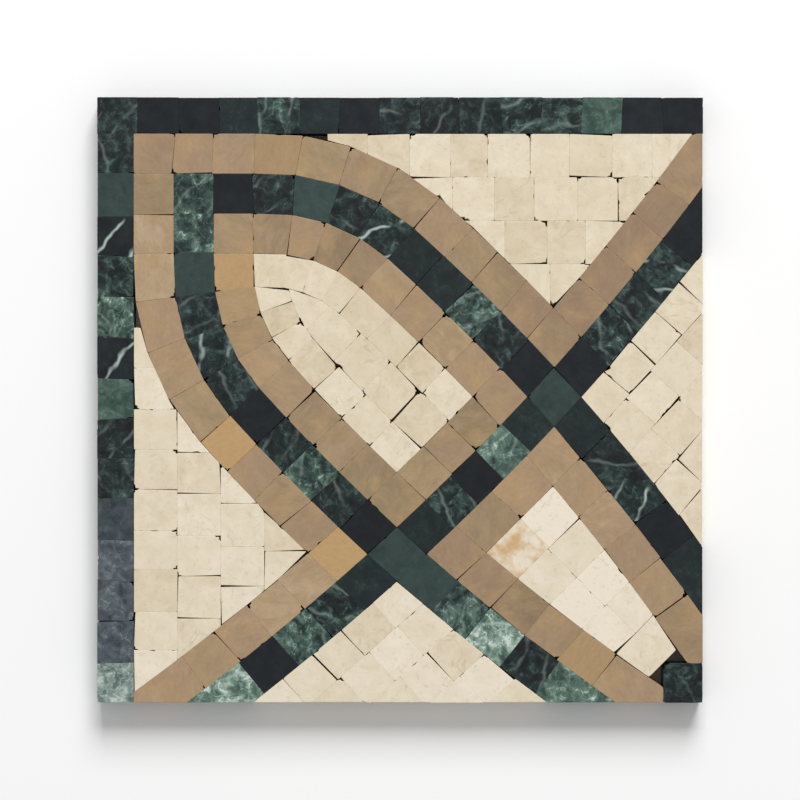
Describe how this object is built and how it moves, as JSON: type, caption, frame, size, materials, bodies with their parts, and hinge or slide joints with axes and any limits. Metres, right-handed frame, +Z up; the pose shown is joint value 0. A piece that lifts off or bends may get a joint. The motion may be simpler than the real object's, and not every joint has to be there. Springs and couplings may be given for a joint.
{
  "type": "marble mosaic corner tile",
  "caption": "Square corner tile of a marble mosaic border: hand-cut green, tan and cream stones in interlaced curved ribbons, glued to a mesh backing for setting in a floor or wall.",
  "frame": {"origin": "middle of the underside of the mesh backing, on the surface the tile lies on", "axes": "+X to the side where the border runs on to the right, +Y to the border's outer edge, +Z up out of the stone face"},
  "size_m": [0.2, 0.2, 0.01],
  "materials": {
    "green_marble": "honed dark green marble, mottled and veined, worn edges",
    "tan_marble": "honed tan limestone-like marble, fine grain",
    "cream_marble": "honed cream marble, faint cloudy veins",
    "glass_mesh": "white glass-fibre mesh in a thin bed of glue"
  },
  "bodies": {
    "root": {"corner_stud": "green_marble", "cream_arrow_field": "cream_marble", "cream_bottom_field": "cream_marble", "cream_leaf_field": "cream_marble", "cream_left_field": "cream_marble", "cream_right_field": "cream_marble", "cream_top_field": "cream_marble", "green_cross_ribbon": "green_marble", "green_ribbon_left": "green_marble", "green_ribbon_upper": "green_marble", "left_edge_row": "green_marble", "mesh_backing": "glass_mesh", "tan_arrow_end": "tan_marble", "tan_arrow_left": "tan_marble", "tan_arrow_upper": "tan_marble", "tan_cross_left": "tan_marble", "tan_cross_upper": "tan_marble", "tan_leaf_end": "tan_marble", "tan_leaf_left": "tan_marble", "tan_leaf_upper": "tan_marble", "tan_outer_left": "tan_marble", "tan_outer_upper": "tan_marble", "top_edge_row": "green_marble"}
  },
  "joints": []
}
